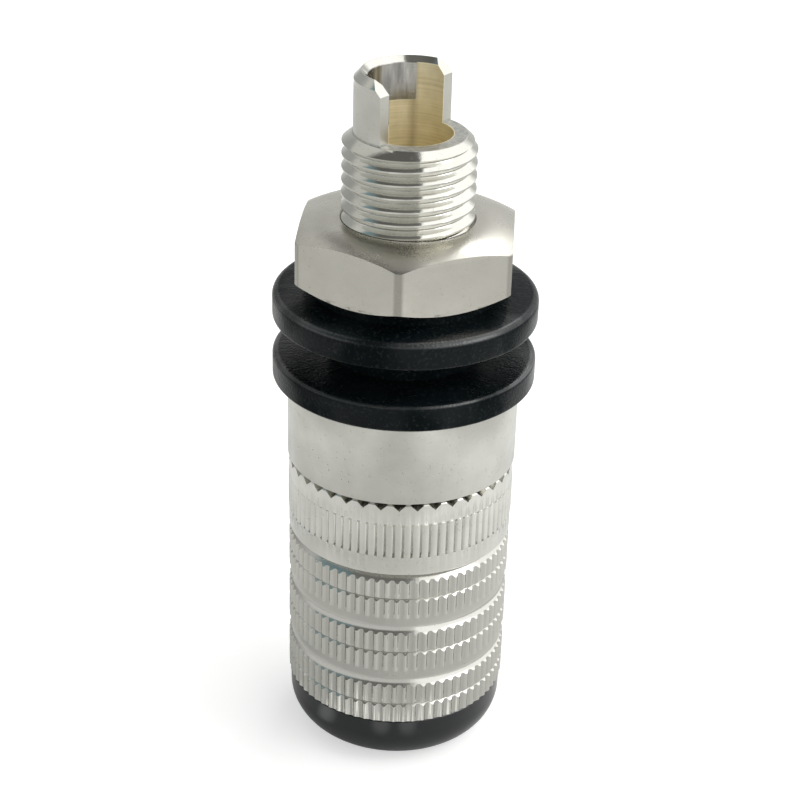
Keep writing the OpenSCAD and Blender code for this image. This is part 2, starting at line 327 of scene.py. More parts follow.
def knurlFinish(crestRadius):  # painted shade: the hollows between the ribs are a little darker than the crests
    finish, tree, shader, worn, _ = platedFinish(
        "nickelKnurl", (0.585, 0.58, 0.54, 1), (0.55, 0.545, 0.505, 1), 0.13, 0.21, 1.2e-6)
    _, _, reach = axisReach(tree)
    k = knurling
    # painted shade, full deep in the hollows and fading out towards the crests
    hollowShade = stretch(tree, reach, (crestRadius - k["hollowShadeFull"]) * mm,
                     (crestRadius - k["hollowShadeFrom"]) * mm, k["hollowShadeShare"], 0)
    tree.links.new(mixColour(tree, hollowShade, worn, k["hollowShadeTone"]), shader.inputs["Base Color"])
    return finish


nutWear = {
    "darkeningTone": (0.24, 0.23, 0.20, 1),
    "rubFrom": 0.11,  # distance inside the corners
    "rubFull": 0.01,
    "rubShare": 0.6,
    "markScale": 1100,
    "markSquash": (1, 1, 2.5),
    "markShare": 0.85,
    "markFull": 0.18,  # height above the lower face
    "markEnd": 0.42,
    "darkeningRough": 0.15,
    "topFrom": 3.9,
    "topFull": 4.1,
    "topRough": 0.1,
}


def nutFinish(low, edgeRadius):  # nickel, rubbed dull along the corners, with darker marks near the lower edge
    finish, tree, shader, worn, rough = platedFinish(
        "nickelNut", (0.53, 0.515, 0.465, 1), (0.49, 0.475, 0.425, 1), 0.14, 0.22, 1.4e-6)
    _, axes, reach = axisReach(tree)
    w = nutWear
    rubbed = stretch(tree, reach, (edgeRadius - w["rubFrom"]) * mm,
                     (edgeRadius - w["rubFull"]) * mm, 0, w["rubShare"])
    squashed = objectPlace(tree, w["markSquash"])
    marks = stretch(tree, noise(tree, squashed, w["markScale"], 2), 0.55, 0.60, 0, 1)
    edge = stretch(tree, axes[2], (low + w["markFull"]) * mm, (low + w["markEnd"]) * mm, 1, 0)
    marks = calc(tree, "MULTIPLY", calc(tree, "MULTIPLY", marks, edge), w["markShare"])
    darkening = calc(tree, "MAXIMUM", rubbed, marks)
    tree.links.new(mixColour(tree, darkening, worn, w["darkeningTone"]), shader.inputs["Base Color"])
    turned = stretch(
        tree, axes[2], (low + w["topFrom"]) * mm, (low + w["topFull"]) * mm, 0, w["topRough"])
    dulled = calc(tree, "ADD", calc(tree, "MULTIPLY", darkening, w["darkeningRough"]), turned)
    tree.links.new(calc(tree, "ADD", rough, dulled), shader.inputs["Roughness"])
    return finish


plastic = {"cloudScale": 350, "fineScale": 5200, "cloudDepth": 1.5e-5, "specular": 0.5}


def plasticFinish(name, tone, shade, roughLow, roughHigh, grain):
    finish, tree, shader = newFinish(name, Specular_IOR_Level=plastic["specular"])
    place = objectPlace(tree)
    clouds = noise(tree, place, plastic["cloudScale"], 3)
    fine = noise(tree, place, plastic["fineScale"], 2)
    tree.links.new(mixColour(tree, stretch(tree, clouds, 0.35, 0.65, 0, 1), tone, shade),
                   shader.inputs["Base Color"])
    tree.links.new(stretch(tree, clouds, 0.3, 0.7, roughLow, roughHigh), shader.inputs["Roughness"])
    soft = bump(tree, shader, clouds, plastic["cloudDepth"])
    bump(tree, shader, fine, grain, 1.0, soft)
    return finish, tree, shader


blackGloss = plasticFinish(
    "blackGloss", (0.002, 0.0032, 0.0036, 1), (0.004, 0.006, 0.007, 1), 0.12, 0.2, 1e-6)[0]


moulding = {
    "speckScale": 4200,
    "speckTone": (0.014, 0.018, 0.0195, 1),
    "speckShare": 0.7,
    "rimStart": 9.5,  # radii between which the rim's rounding shines
    "rimFull": 9.65,
    "rimFade": 9.93,
    "rimEnd": 9.98,
    "faceShine": 0.14,
    "rimShine": 0.75,
    "sideShine": 0.12,
    "patchScale": 190,
    "spokes": 34.0,  # noise cells for each radian, and for each metre outwards
    "spokeReach": 260.0,
    "spokePatches": 140,
    "spokeFade": 9.2,
    "spokeEnd": 9.6,
    "spokeDepth": 5e-5,
}


def mouldedFinish():  # black moulded plastic with faint spokes left by the tool on its faces
    finish, tree, shader = plasticFinish(
        "blackSatin", (0.0018, 0.0036, 0.0042, 1), (0.0035, 0.006, 0.007, 1), 0.20, 0.34, 3e-5)
    place, axes, reach = axisReach(tree)
    m = moulding
    speck = stretch(tree, noise(tree, place, m["speckScale"], 1), 0.56, 0.70, 0, m["speckShare"])
    ground = shader.inputs["Base Color"].links[0].from_socket
    tree.links.new(mixColour(tree, speck, ground, m["speckTone"]), shader.inputs["Base Color"])
    rise = stretch(
        tree, reach, m["rimStart"] * mm, m["rimFull"] * mm, m["faceShine"], m["rimShine"])
    fall = stretch(
        tree, reach, m["rimFade"] * mm, m["rimEnd"] * mm, 0, m["rimShine"] - m["sideShine"])
    rounding = calc(tree, "SUBTRACT", rise, fall)
    patchy = stretch(tree, noise(tree, place, m["patchScale"], 2), 0.44, 0.58, 0.25, 1)
    tree.links.new(calc(tree, "MULTIPLY", rounding, patchy), shader.inputs["Specular IOR Level"])
    angle = calc(tree, "ARCTAN2", axes[0], axes[1])
    spoke = addNode(tree, "ShaderNodeCombineXYZ", {
        0: calc(tree, "MULTIPLY", angle, m["spokes"]),
        1: calc(tree, "MULTIPLY", reach, m["spokeReach"])}).outputs[0]
    lines = noise(tree, spoke, 1.0, 2)
    where = calc(
        tree, "MULTIPLY",
        stretch(tree, noise(tree, place, m["spokePatches"], 1), 0.42, 0.58, 0.15, 1),
        stretch(tree, reach, m["spokeFade"] * mm, m["spokeEnd"] * mm, 1, 0))
    grain = shader.inputs["Normal"].links[0].from_socket
    bump(tree, shader, calc(tree, "MULTIPLY", lines, where), m["spokeDepth"], 0.8, grain)
    return finish


blackSatin = mouldedFinish()
springSteel = platedFinish(
    "springSteel", (0.36, 0.36, 0.37, 1), (0.30, 0.30, 0.31, 1), 0.25, 0.35, 2e-6)[0]
print("finishes made")


# knurled knob: a ribbed bar trimmed by the turned form

knob = {
    "ribs": 70,
    "ribShape": (  # depth across one rib
        0, 0.02, 0.07, 0.14, 0.185, 0.195, 0.195, 0.195, 0.185, 0.14, 0.07, 0.02),
    "radius": 8.75,
    "bands": 3,
    "bandHeight": 3.4,
    "grooveHeight": 1.5,
    "grooveDepth": 0.45,
    "coveLead": 0.3,
    "coveLap": 0.05,
    "coveRadius": 0.9,
    "undercut": 0.14,
    "undercutRun": 0.15,
    "splitWidth": 0.40,
    "splitDepth": 0.235,
    "lowBevel": 0.2,
    "edge": 0.5,
    "topSlope": 0.7,
    "neckRadius": 6.0,
    "lipRadius": 6.6,
    "lipHeight": 0.7,
    "lipLead": 0.1,
    "lipBevel": 0.15,
    "plugRadius": 6.5,
    "plugSeat": 4.0,
    "reliefRadius": 5.15,
    "reliefHeight": 8.4,
    "boreRadius": 4.0,
    "boreBevel": 0.3,
}


def makeKnob():
    low, high = levels("knob_shell")
    k = knob
    r, outside = k["radius"], k["radius"] + trim
    slope = k["splitWidth"] / 2 / k["splitDepth"]
    half = slope * (k["splitDepth"] + trim)
    outline = [(k["plugRadius"], low), (r - k["lowBevel"], low), (outside, low + trim)]
    for band in range(k["bands"]):
        z = low + band * (k["bandHeight"] + k["grooveHeight"])
        middle = z + k["bandHeight"] / 2
        outline += [
            (outside, middle - half), (r - k["splitDepth"], middle), (outside, middle + half)]
        if band < k["bands"] - 1:
            lowEdge = z + k["bandHeight"]
            highEdge = lowEdge + k["grooveHeight"]
            bottom = r - k["grooveDepth"]
            swing = math.degrees(
                math.acos(1 - (k["grooveDepth"] + k["coveLap"]) / k["coveRadius"]))
            rise = k["coveRadius"] * math.sin(math.radians(swing))
            outline += [(outside, lowEdge - k["coveLead"])]
            outline += roundCorner(
                bottom + k["coveRadius"], lowEdge - k["coveLap"] + rise, k["coveRadius"],
                180 + swing, 180, 7)
            outline += [(bottom, highEdge - k["undercut"]), (outside, highEdge + k["undercutRun"])]
    top = low + k["bands"] * k["bandHeight"] + (k["bands"] - 1) * k["grooveHeight"] + k["edge"]
    outline += [
        (outside, top - k["topSlope"] - trim), (r - k["topSlope"], top), (k["neckRadius"], top),
        (k["neckRadius"], high - k["lipHeight"]),
        (k["lipRadius"], high - k["lipHeight"] + k["lipLead"]),
        (k["lipRadius"], high - k["lipBevel"]), (k["lipRadius"] - k["lipBevel"], high),
        (k["boreRadius"] + k["boreBevel"], high), (k["boreRadius"], high - k["boreBevel"]),
        (k["boreRadius"], low + k["reliefHeight"]), (k["reliefRadius"], low + k["reliefHeight"]),
        (k["reliefRadius"], low + k["plugSeat"]), (k["plugRadius"], low + k["plugSeat"])]
    form = turnOutline("knobForm", outline, 210)
    piece = ribbedBar("knobShell", k["ribs"], [k["ribShape"]] * 2, r, [low - over, high + over])
    carve(piece, form, "INTERSECT")
    tidyFaces(piece)
    fitIn(piece, "knob", "nickel_bright", knurlFinish(r), "knob_shell")
    print("knob", len(piece.data.polygons))


makeKnob()


# pressure ring: thin flutes with sloping ends, and teeth on the clamping face

ring = {
    "radius": 8.75,
    "boreRadius": 6.05,
    "pocketRadius": 6.7,
    "pocketHeight": 4.3,
    "boreBevel": 0.1,
    "edge": 0.12,
    "flutes": 80,
    "fluteShape": (  # depth across one flute: its crown stands a little proud of the bar
        -0.05, -0.045, -0.04, -0.03, -0.01, 0.05, 0.10, 0.05, -0.01, -0.03, -0.04, -0.045),
    "beltHeight": 1.6,
    "fluteHeight": 2.9,
    "fluteRun": 0.12,
    "pitDepth": 0.12,  # the hollows are deeper close to both ends of the flutes
    "pitFrom": 0.04,
    "pitRun": 0.06,
    "teeth": 40,
    "toothDepth": 0.70,
    "toothRise": 25,  # degrees that the floor of a notch rises inwards
    "toothShare": 1.12,  # width of a notch against the room for it
    "toothGrow": 1.06,  # the notch runs on a little above the face
    "toothInside": 0.1,
    "toothOutside": 0.4,
}


def cutTeeth(piece, top):
    k = ring
    inner, outer = k["pocketRadius"] - k["toothInside"], k["radius"] + k["toothOutside"]
    halfWidth = k["toothShare"] * math.pi * k["radius"] / k["teeth"]
    putDown()
    bpy.ops.mesh.primitive_cylinder_add(
        vertices=3, radius=mm, depth=(outer - inner) * mm, rotation=(0, math.pi / 2, 0))
    notch = bpy.context.object
    notch.name = "toothNotch"
    bpy.ops.object.transform_apply(rotation=True)
    notch.rotation_euler = (-math.pi / 2, 0, 0)  # point downwards
    bpy.ops.object.transform_apply(rotation=True)
    zs = [v.co.z for v in notch.data.vertices]
    ys = [v.co.y for v in notch.data.vertices]
    tall, wide = max(zs) - min(zs), max(ys) - min(ys)
    grow = k["toothGrow"] * mm
    notch.scale = (1, 2 * halfWidth * grow / wide, k["toothDepth"] * grow / tall)
    bpy.ops.object.transform_apply(scale=True)
    editVerts(notch, lambda co: co.x < 0)  # narrower towards the axis, so that no two notches meet
    bpy.ops.transform.resize(value=(1, inner / outer, 1), center_override=(0, 0, 0))
    bpy.ops.object.mode_set(mode="OBJECT")
    drop = min(v.co.z for v in notch.data.vertices)
    notch.location = ((inner + outer) / 2 * mm, 0, (top - k["toothDepth"]) * mm - drop)
    bpy.ops.object.transform_apply(location=True)
    editVerts(notch, lambda co: co.x < k["radius"] * mm - mm)
    lift = (k["radius"] - inner) * math.tan(math.radians(k["toothRise"]))
    bpy.ops.transform.translate(value=(0, 0, lift * mm))
    bpy.ops.object.mode_set(mode="OBJECT")
    copies = []
    for i in range(1, k["teeth"]):
        another = notch.copy()
        another.data = notch.data.copy()
        another.data.transform(Matrix.Rotation(turn * i / k["teeth"], 4, "Z"))
        bpy.context.collection.objects.link(another)
        copies.append(another)
    pickUp(notch)
    for another in copies:
        another.select_set(True)
    bpy.ops.object.join()
    carve(piece, notch, "DIFFERENCE")


def makeRing():
    low, high = levels("pressure_ring")
    k = ring
    outside = k["radius"] + trim
    flute = low + k["beltHeight"]
    plain = (0,) * len(k["fluteShape"])
    pit = [depth + k["pitDepth"] * (depth > k["pitFrom"]) for depth in k["fluteShape"]]
    rows = [plain] * 2 + [pit] * 2 + [k["fluteShape"]] * 2 + [pit] * 2 + [plain] * 2
    run, close, fluteTop = k["fluteRun"], k["pitRun"], flute + k["fluteHeight"]
    heights = [low - over, flute, flute + close, flute + run, flute + 2 * run,
               fluteTop - 2 * run, fluteTop - run, fluteTop - close, fluteTop, high + over]
    piece = ribbedBar("pressureRing", k["flutes"], rows, k["radius"], heights)
    form = turnOutline("ringForm", [
        (k["boreRadius"] + k["boreBevel"], low), (k["radius"] - k["edge"], low),
        (outside, low + k["edge"] + trim), (outside, high - k["edge"] - trim),
        (k["radius"] - k["edge"], high),
        (k["pocketRadius"], high), (k["pocketRadius"], low + k["pocketHeight"]),
        (k["boreRadius"], low + k["pocketHeight"]),
        (k["boreRadius"], low + k["boreBevel"])], 320)
    carve(piece, form, "INTERSECT")
    cutTeeth(piece, high)
    tidyFaces(piece)
    fitIn(piece, "ring", "nickel_satin", nickelRing, "pressure_ring")
    print("ring", len(piece.data.polygons))


makeRing()


# contact pillar: turned body, both threads, plug socket, wire hole and the open solder cup

pillar = {
    "tipBevel": 0.5,
    "studRadius": 3.95,
    "flangeRadius": 7.0,
    "flangeDepth": 2,  # inside the collar
    "threadRadius": 4.95,
    "threadPitch": 1.0,
    "threadStart": 3.1,  # above the collar
    "threadTurns": 16,
    "threadShape": (  # depth at each share of one pitch, from crest to crest
        (0.06, 0), (0.12, 0.05), (0.28, 0.25), (0.42, 0.42), (0.50, 0.47), (0.57, 0.45),
        (0.66, 0.36), (0.80, 0.17), (0.90, 0.04), (0.95, 0)),
    "threadPlay": 0.04,
    "shoulderRadius": 4.2,
    "shoulderBevel": 0.6,
    "shoulderStep": 0.02,
    "cupRadius": 4.15,
    "cupBore": 3.15,
    "cupHeight": 4.6,
    "boreHeight": 7.6,
    "boreRound": 0.5,
    "drillPoint": 0.4,
    "rimBevel": 0.55,
    "rimLand": 0.03,
    "rimInside": 0.43,
    "openCut": 0.5,
    "openSill": 0.03,
    "openLead": 1.0,
    "openTurn": 52,
    "stopRadius": 3.5,
    "stopPlay": 0.03,
    "socketRadius": 2.0,
    "socketBevel": 0.4,
    "socketEnd": 5.2,  # below the collar
    "wireRadius": 1.7,
    "wireEdge": 0.35,
    "wireDrop": 2.7,  # below the collar
    "studRoot": 3.28,
    "studPitch": 1.25,
    "studStart": 1.2,  # above the stop ring
    "studTurns": 15,
    "rootFlat": 0.06,  # half of the root's share of one pitch
    "mouthStep": 0.01,
}


def threadSection(crest, root, pitch, low, flat=0.125):
    # V groove between two crests: flat is the crest's share of one pitch
    halfMouth = pitch * (1 - flat) / 2
    halfRoot = pitch * pillar["rootFlat"]
    slope = (halfMouth - halfRoot) / (crest - root)
    beyond = 0.04
    halfOut = halfMouth + slope * beyond
    return [
        (root, low - halfRoot), (crest + beyond, low - halfOut),
        (crest + beyond, low + halfOut), (root, low + halfRoot)]


def outerGroove(crest, low):  # between two crests of the rear thread, open outwards
    p = pillar
    pitch, shape, step = p["threadPitch"], p["threadShape"], p["mouthStep"]
    beyond = crest + 0.2
    return [(beyond, low + (shape[0][0] - step) * pitch)] + [
        (crest - depth + (step if depth == 0 else 0), low + share * pitch)
        for share, depth in shape] + [(beyond, low + (shape[-1][0] + step) * pitch)]


def innerGroove(crest, bore, low):  # the same thread's crest, with play, open inwards: for the nut
    p = pillar
    pitch, play, shape = p["threadPitch"], p["threadPlay"], p["threadShape"]
    deepest = max(shape, key=lambda point: point[1])[0]
    wrapped = [(share - 1, depth) for share, depth in shape if share > deepest]
    wrapped += [(share, depth) for share, depth in shape if share < deepest]
    beyond = bore - 0.1
    return [(beyond, low + wrapped[0][0] * pitch)] + [
        (crest - depth + play, low + share * pitch) for share, depth in wrapped] + [
        (beyond, low + wrapped[-1][0] * pitch)]


def makePillar():
    low, high = levels("contact_pillar")
    collarLow, collarHigh = levels("base_collar")
    stopLow, stopHigh = levels("stop_ring")
    p = pillar
    shoulder = high - p["cupHeight"]
    threadTop = shoulder - p["shoulderBevel"]
    grooveLow, grooveHigh = stopLow - p["stopPlay"], stopHigh + p["stopPlay"]
    flange = collarLow + p["flangeDepth"]
    piece = turnOutline("contactPillar", [
        (0, low), (p["studRadius"] - p["tipBevel"], low), (p["studRadius"], low + p["tipBevel"]),
        (p["studRadius"], grooveLow), (p["stopRadius"], grooveLow),
        (p["stopRadius"], grooveHigh), (p["studRadius"], grooveHigh),
        (p["studRadius"], flange), (p["flangeRadius"], flange),
        (p["flangeRadius"], collarHigh), (p["threadRadius"], collarHigh),
        (p["threadRadius"], threadTop), (p["shoulderRadius"], shoulder),
        (p["cupRadius"], shoulder + p["shoulderStep"]),
        (p["cupRadius"], high - p["rimBevel"]),
        (p["cupRadius"] - p["rimBevel"] + p["rimLand"], high), (0, high)], 160)
    rear = sweepThread(
        "rearGroove", outerGroove(p["threadRadius"], collarHigh + p["threadStart"]),
        p["threadPitch"], p["threadTurns"])
    carve(piece, rear, "DIFFERENCE")
    studSection = threadSection(
        p["studRadius"], p["studRoot"], p["studPitch"], stopHigh + p["studStart"])
    front = sweepThread("frontGroove", studSection, p["studPitch"], p["studTurns"])
    carve(piece, front, "DIFFERENCE")
    boreLow = high - p["boreHeight"]
    bore = turnOutline("cupBore", [
        (0, boreLow - p["drillPoint"]), (p["cupBore"] - p["boreRound"], boreLow),
        (p["cupBore"], boreLow), (p["cupBore"], high - p["rimInside"]),
        (p["cupBore"] + p["rimInside"] + over, high + over), (0, high + over)], 144)
    carve(piece, bore, "DIFFERENCE")
    socketEnd = collarLow - p["socketEnd"]
    socket = turnOutline("plugSocket", [
        (0, low - over), (p["socketRadius"] + p["socketBevel"] + over, low - over),
        (p["socketRadius"], low + p["socketBevel"]),
        (p["socketRadius"], socketEnd - p["drillPoint"]), (0, socketEnd)], 96)
    carve(piece, socket, "DIFFERENCE")
    carve(piece, wireCutter(collarLow - p["wireDrop"]), "DIFFERENCE")
    carve(piece, openingCutter(shoulder, high), "DIFFERENCE")
    tidyFaces(piece, 32)
    fitIn(piece, "post", "nickel_bright", pillarFinish(high), "contact_pillar")
    print("pillar", len(piece.data.polygons))


def wireCutter(height):  # the cross hole, bevelled at both mouths
    p = pillar
    r, end = p["wireRadius"], p["studRadius"] + over
    mouth = r + p["wireEdge"] + over
    straight = end - over - p["wireEdge"]
    tool = turnOutline("wireHole", [
        (0, -end), (mouth, -end), (r, -straight), (r, straight), (mouth, end), (0, end)], 64)
    tool.rotation_euler = (0, math.pi / 2, 0)
    tool.location = (0, 0, height * mm)
    pickUp(tool)
    bpy.ops.object.transform_apply(location=True, rotation=True)
    return tool


def openingCutter(shoulder, high):
    # a flat outline, pulled across the whole cup and turned to where the cup is open
    p = pillar
    sill = shoulder + p["openSill"]
    outside, across = p["cupRadius"] + 2 * over, 10 * mm
    outline = [
        (p["openCut"], sill), (outside, sill), (outside, high + over),
        (p["openCut"] - p["openLead"] - over, high + over), (p["openCut"], high - p["openLead"])]
    tool = drawOutline("cupOpening", outline)
    bpy.ops.mesh.select_all(action="SELECT")
    bpy.ops.mesh.edge_face_add()
    bpy.ops.transform.translate(value=(0, -across, 0))
    bpy.ops.mesh.extrude_region_move(TRANSFORM_OT_translate={"value": (0, 2 * across, 0)})
    bpy.ops.mesh.select_all(action="SELECT")
    bpy.ops.mesh.normals_make_consistent(inside=False)
    bpy.ops.object.mode_set(mode="OBJECT")
    tool.rotation_euler = (0, 0, math.radians(p["openTurn"] - 90))
    pickUp(tool)
    bpy.ops.object.transform_apply(rotation=True)
    return tool


cupLook = {
    "brassLight": (0.75, 0.665, 0.435, 1),
    "brassDark": (0.62, 0.54, 0.335, 1),
    "blotchTone": (0.84, 0.77, 0.56, 1),
    "blotchScale": 900,
    "ringScale": (60, 60, 5200),
    "seamTone": (0.24, 0.18, 0.09, 1),
    "seamSide": 0.15,
    "seamFrom": 0.03,
    "seamEnd": 0.45,
    "seamShare": 0.42,
    "plateSide": (0.3, 0.42),  # sideways, where the plate inside the cup ends
    "plateDepth": (3.25, 3.15),  # below the rim
    "plateDark": (0.26, 0.255, 0.24, 1),
    "plateLight": (0.46, 0.45, 0.42, 1),
    "streakScale": (2400, 2400, 420),
    "sillTone": (0.30, 0.30, 0.285, 1),
    "sillDepth": (4.4, 4.5),
    "sillShare": 0.75,
    "scuffScale": 2600,
    "milledDepth": (0.7, 1.0),
    "milledRough": 0.28,
    "brassRough": 0.36,
    "plateRough": 0.12,
    "brassDull": 0.6,
}


def pillarFinish(high):
    # nickel plate, with dull bare brass down inside the solder cup, where the plate did not reach
    p, c = pillar, cupLook
    finish, tree, shader, worn, rough = platedFinish(
        "nickelPillar", (0.58, 0.575, 0.53, 1), (0.53, 0.525, 0.48, 1), 0.08, 0.14, 1.2e-6)
    place, axes, reach = axisReach(tree)
    side, up = axes[0], axes[2]

    def below(depths, outLow, outHigh):  # a step between two depths below the rim
        first, second = depths
        return stretch(tree, up, (high - first) * mm, (high - second) * mm, outLow, outHigh)

    def times(first, second):
        return calc(tree, "MULTIPLY", first, second)

    inside = stretch(tree, reach, (p["cupBore"] + 0.03) * mm, (p["cupBore"] + 0.06) * mm, 1, 0)
    above = below((p["boreHeight"] + 1, p["boreHeight"] + 0.9), 0, 1)
    sideLow, sideHigh = c["plateSide"]
    plateSide = stretch(tree, side, sideLow * mm, sideHigh * mm, 1, 0)
    plated = times(plateSide, below(c["plateDepth"], 0, 1))
    bare = times(times(inside, above), calc(tree, "SUBTRACT", 1.0, plated))

    rings = noise(tree, objectPlace(tree, c["ringScale"]), 1.0, 2)
    blotches = noise(tree, place, c["blotchScale"], 3)
    brass = mixColour(
        tree, stretch(tree, rings, 0.35, 0.65, 0, 1), c["brassLight"], c["brassDark"])
    brass = mixColour(tree, stretch(tree, blotches, 0.4, 0.7, 0, 0.5), brass, c["blotchTone"])
    fromSeam = calc(tree, "ABSOLUTE", calc(tree, "SUBTRACT", side, c["seamSide"] * mm))
    seam = stretch(tree, fromSeam, c["seamFrom"] * mm, c["seamEnd"] * mm, c["seamShare"], 0)
    brass = mixColour(tree, seam, brass, c["seamTone"])

    streaks = noise(tree, objectPlace(tree, c["streakScale"]), 1.0, 3)
    streaks = stretch(tree, streaks, 0.35, 0.65, 0, 1)
    dulled = mixColour(tree, streaks, c["plateDark"], c["plateLight"])
    innerPlate = times(inside, plated)
    wall = times(
        stretch(tree, reach, (p["cupBore"] + 0.04) * mm, (p["cupBore"] + 0.06) * mm, 0, 1),
        stretch(tree, reach, (p["cupRadius"] + 0.05) * mm, (p["cupRadius"] + 0.07) * mm, 1, 0))
    sill = times(wall, below(c["sillDepth"], 0, c["sillShare"]))
    scuffs = stretch(tree, noise(tree, place, c["scuffScale"], 3), 0.40, 0.60, 0.4, 1)
    skin = mixColour(tree, innerPlate, worn, dulled)
    skin = mixColour(tree, times(sill, scuffs), skin, c["sillTone"])
    tree.links.new(mixColour(tree, bare, skin, brass), shader.inputs["Base Color"])

    milled = times(wall, below(c["milledDepth"], 0, c["milledRough"]))
    softer = calc(
        tree, "ADD", times(bare, c["brassRough"]), times(innerPlate, c["plateRough"]))
    softer = calc(tree, "ADD", softer, milled)
    tree.links.new(calc(tree, "ADD", rough, softer), shader.inputs["Roughness"])
    metal = calc(tree, "SUBTRACT", 1.0, times(bare, c["brassDull"]))
    tree.links.new(metal, shader.inputs["Metallic"])
    return finish


makePillar()


# hexagon nut, screwed on the same helix as the pillar's rear thread

nut = {
    "flats": 15.7,
    "cornerBlunt": 0.12,
    "faceEdge": 0.12,
    "turned": 3.3,
    "bore": 4.55,
    "mouth": 0.5,
    "crownRadius": 5.6,
    "crownFall": 0.85,
    "crownSteps": 7,
    "seatGap": 0.002,
    "grooveSkip": 3,  # turns of the pillar's thread below the nut's
    "grooveTurns": 8,
}


def makeNut():
    n = nut
    low, high = levels("hex_nut")
    low += n["seatGap"]  # so that its face and the washer's don't share a plane
    collarHigh = levels("base_collar")[1]
    corner = n["flats"] / 2 / math.cos(math.pi / 6)
    putDown()
    bpy.ops.mesh.primitive_cylinder_add(
        vertices=6, radius=corner * mm, depth=(high - low + over) * mm,
        location=(0, 0, (low + high) / 2 * mm))
    piece = bpy.context.object
    piece.name = "hexNut"
    bpy.ops.object.transform_apply(location=True)
    piece.rotation_euler = (0, 0, math.radians(-n["turned"]))
    bpy.ops.object.transform_apply(rotation=True)
    endR = n["flats"] / 2 - n["faceEdge"]
    sideR = corner - n["cornerBlunt"]
    fall = (sideR - endR) * math.tan(math.pi / 6)
    crown = []
    for i in range(n["crownSteps"], -1, -1):
        share = i / n["crownSteps"]
        crown.append((n["crownRadius"] + (sideR - n["crownRadius"]) * share,
                      high - n["crownFall"] * share ** 2))
    mouth = n["bore"] + n["mouth"]
    form = turnOutline("nutForm", [
        (mouth, low), (endR, low), (sideR, low + fall)] + crown + [
        (mouth, high), (n["bore"], high - n["mouth"]), (n["bore"], low + n["mouth"])], 192)
    carve(piece, form, "INTERSECT")
    start = collarHigh + pillar["threadStart"] + n["grooveSkip"] * pillar["threadPitch"]
    groove = sweepThread(
        "nutGroove", innerGroove(pillar["threadRadius"], n["bore"], start),
        pillar["threadPitch"], n["grooveTurns"])
    carve(piece, groove, "DIFFERENCE")
    tidyFaces(piece, 25)
    fitIn(piece, "nut", "nickel_bright", nutFinish(low, sideR), "hex_nut")
    print("nut", len(piece.data.polygons))


makeNut()


# collar, insulators and end cap

collar = {"radius": 8.85, "edge": 0.12, "hole": 3.97, "seat": 7.02, "floor": 2.0}


def makeCollar():
    low, high = levels("base_collar")
    c = collar
    r, e = c["radius"], c["edge"]
    outline = [(c["hole"], low)] + roundCorner(r - e, low + e, e, -90, 0, 3)
    outline += roundCorner(r - e, high - e, e, 0, 90, 3)
    outline += [(c["seat"], high), (c["seat"], low + c["floor"]), (c["hole"], low + c["floor"])]
    piece = turnOutline("baseCollar", outline, 192)
    tidyFaces(piece)
    fitIn(piece, "post", "nickel_satin", nickelSatin, "base_collar")


makeCollar()

washer = {
    "radius": 10.0,
    "hole": 5.05,
    "lowRound": 0.28,
    "sinkRun": 2.2,
    "frontPlate": 2.1,
    "frontRound": 0.35,
    "frontSink": 0.04,
    "bossRadius": 5.8,
    "bossEdge": 0.25,
    "rearPlate": 2.25,
    "rearRound": 0.5,
    "rearSink": 0.16,
    "seatRadius": 7.2,
    "seatEdge": 0.1,
}


def washerRim(low, high, topRound, sink):
    # the top sinks a little towards the rim, as a moulding does
    r, e = washer["radius"], washer["lowRound"]
    rim = roundCorner(r - e, low + e, e, -90, 0)
    rim += roundCorner(r - topRound, high - sink - topRound, topRound, 0, 84, 8)
    for share in (0.72, 0.5, 0.3, 0.14, 0.04):
        rim.append((r - topRound - washer["sinkRun"] * (1 - share ** 0.5), high - sink * share))
    return rim


def makeFrontWasher():
    low, high = levels("front_insulator")
    w = washer
    plate = low + w["frontPlate"]
    outline = [(w["hole"], low)] + washerRim(low, plate, w["frontRound"], w["frontSink"])
    outline += [(w["bossRadius"], plate), (w["bossRadius"], high - w["bossEdge"]),
                (w["bossRadius"] - w["bossEdge"], high), (w["hole"], high)]
    piece = turnOutline("frontInsulator", outline, 192)
    tidyFaces(piece)
    fitIn(piece, "post", "black_satin", blackSatin, "front_insulator")


def makeRearWasher():
    low, high = levels("rear_insulator")
    w = washer
    plate = low + w["rearPlate"]
    outline = [(w["hole"], low)] + washerRim(low, plate, w["rearRound"], w["rearSink"])
    outline += [(w["seatRadius"], plate), (w["seatRadius"], high - w["seatEdge"]),
                (w["seatRadius"] - w["seatEdge"], high), (w["hole"], high)]
    piece = turnOutline("rearInsulator", outline, 192)
    tidyFaces(piece)
    fitIn(piece, "clamp_washer", "black_satin", blackSatin, "rear_insulator")


makeFrontWasher()
makeRearWasher()

endCap = {"radius": 8.6, "round": 3.0, "height": 4.4, "hole": 4.35, "holeBevel": 0.3, "wall": 3.2,
          "plugRadius": 6.48, "plugBore": 4.975, "topEdge": 0.08}


def makeEndCap():
    low, high = levels("end_cap")
    c = endCap
    r, e = c["radius"], c["round"]
    outline = [(c["hole"] + c["holeBevel"], low)] + roundCorner(r - e, low + e, e, -90, 0, 14)
    outline += [(r, c["height"] - c["topEdge"]), (r - c["topEdge"], c["height"]),
                (c["plugRadius"], c["height"]), (c["plugRadius"], high), (c["plugBore"], high),
                (c["plugBore"], low + c["wall"]), (c["hole"], low + c["wall"]),
                (c["hole"], low + c["holeBevel"])]
    piece = turnOutline("endCap", outline, 192)
    tidyFaces(piece)
    fitIn(piece, "knob", "black_gloss", blackGloss, "end_cap")


makeEndCap()

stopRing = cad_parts["stop_ring"]
stopRing.data.materials.clear()
stopRing.data.materials.append(springSteel)
print("turned pieces made")


# floor, world, lamps and camera

